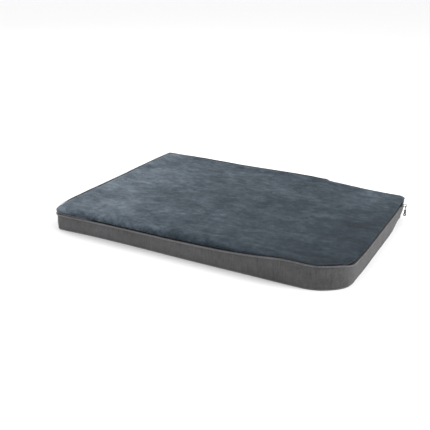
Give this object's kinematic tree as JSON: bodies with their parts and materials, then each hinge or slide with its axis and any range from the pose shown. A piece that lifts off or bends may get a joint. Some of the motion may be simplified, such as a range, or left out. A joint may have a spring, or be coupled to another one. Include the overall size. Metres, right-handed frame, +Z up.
{
  "type": "kneeling pad",
  "caption": "Flat foam kneeling pad in a zipped fabric cover with a velour top, a woven side band and a slider with a hanging pull at each end of the zip.",
  "frame": {"origin": "centre of the bottom panel's underside, on the floor", "axes": "+X along the long side to the right, +Y to the back, +Z up through the thickness"},
  "size_m": [0.8195, 0.6195, 0.062],
  "materials": {
    "velour": "short napped velour, soft",
    "woven": "matt woven cloth",
    "base_cloth": "matt woven cloth",
    "zip_tape": "fine woven tape",
    "zip_coil": "satin nylon",
    "firm_foam": "open-cell foam, matt",
    "soft_foam": "open-cell foam, matt",
    "slider_metal": "dark, satin",
    "steel_wire": "dark, satin",
    "puller": "black, satin"
  },
  "bodies": {
    "cover": {"base_foam": "firm_foam", "comfort_foam": "soft_foam", "bottom_panel": "base_cloth", "bottom_seam": "woven", "side_band": "woven", "top_panel": "velour", "hinge_panel": "woven", "band_ridge": "woven", "zip_tape_lower": "zip_tape", "zip_tape_upper": "zip_tape", "zip_coil_lower": "zip_coil", "zip_coil_upper": "zip_coil", "side_end_stop": "slider_metal", "side_end_tab": "zip_tape", "back_end_stop": "slider_metal", "back_end_tab": "zip_tape"},
    "side_slider": {"side_slider": "slider_metal"},
    "side_bail": {"side_bail": "steel_wire"},
    "side_puller": {"side_puller": "puller"},
    "back_slider": {"back_slider": "slider_metal"},
    "back_bail": {"back_bail": "steel_wire"},
    "back_puller": {"back_puller": "puller"}
  },
  "joints": [
    {"name": "side_slider_slide", "type": "slide", "parent": "cover", "child": "side_slider", "axis": [0, -1, 0], "range_m": [0, 0.42]},
    {"name": "side_bail_hinge", "type": "hinge", "parent": "side_slider", "child": "side_bail", "pos_m": [0.403, 0.236, 0.0525], "axis": [0, 0, 1], "range_deg": [-95, 35]},
    {"name": "side_puller_hinge", "type": "hinge", "parent": "side_bail", "child": "side_puller", "pos_m": [0.41287, 0.2417, 0.0493], "axis": [-0.866, -0.5, 0], "range_deg": [-3, 100]},
    {"name": "back_slider_slide", "type": "slide", "parent": "cover", "child": "back_slider", "axis": [-1, 0, 0], "range_m": [0, 0.47]},
    {"name": "back_bail_hinge", "type": "hinge", "parent": "back_slider", "child": "back_bail", "pos_m": [0.15, 0.303, 0.0455], "axis": [0, 0, -1], "range_deg": [-95, 35]},
    {"name": "back_puller_hinge", "type": "hinge", "parent": "back_bail", "child": "back_puller", "pos_m": [0.1557, 0.31287, 0.0423], "axis": [0.5, 0.866, 0], "range_deg": [-3, 100]}
  ]
}
